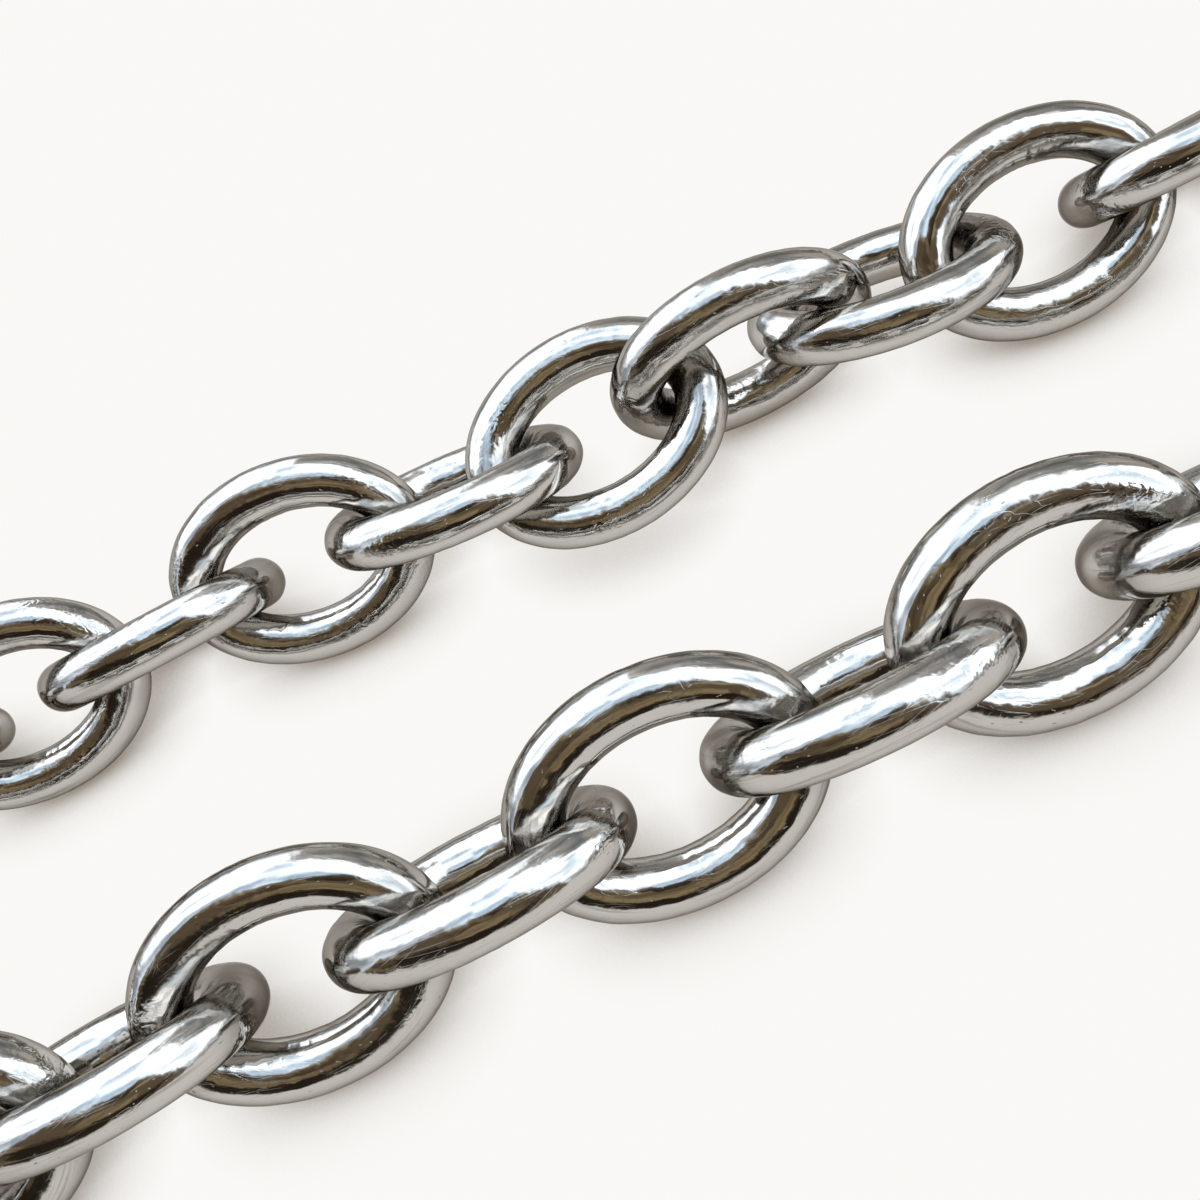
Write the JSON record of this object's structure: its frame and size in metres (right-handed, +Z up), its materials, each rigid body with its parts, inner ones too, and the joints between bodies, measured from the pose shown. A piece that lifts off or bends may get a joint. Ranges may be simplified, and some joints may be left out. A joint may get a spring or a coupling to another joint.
{
  "type": "length of round-bar welded chain",
  "caption": "Length of bright welded steel chain with oval round-bar links, doubled back on itself and lying flat on the floor in two runs joined by a turn.",
  "frame": {"origin": "on the floor, under the middle of the box that holds the whole chain", "axes": "+X along the near run from its free end towards the turn, +Y from the near run to the far run, +Z up"},
  "size_m": [0.4952, 0.1406, 0.0408],
  "materials": {
    "bright_steel": "polished bright plating over round steel bar, with fine scratches, small pits and dents, and a ground weld on each link"
  },
  "bodies": {
    "root": {"link_01": "bright_steel", "link_02": "bright_steel", "link_03": "bright_steel", "link_04": "bright_steel", "link_05": "bright_steel", "link_06": "bright_steel", "link_07": "bright_steel", "link_08": "bright_steel", "link_09": "bright_steel", "link_10": "bright_steel", "link_11": "bright_steel", "link_12": "bright_steel", "link_13": "bright_steel", "link_14": "bright_steel", "link_15": "bright_steel", "link_16": "bright_steel", "link_17": "bright_steel", "link_18": "bright_steel", "link_19": "bright_steel", "link_20": "bright_steel", "link_21": "bright_steel", "link_22": "bright_steel", "link_23": "bright_steel", "link_24": "bright_steel", "link_25": "bright_steel", "link_26": "bright_steel", "link_27": "bright_steel", "link_28": "bright_steel", "link_29": "bright_steel", "link_30": "bright_steel", "link_31": "bright_steel"}
  },
  "joints": []
}
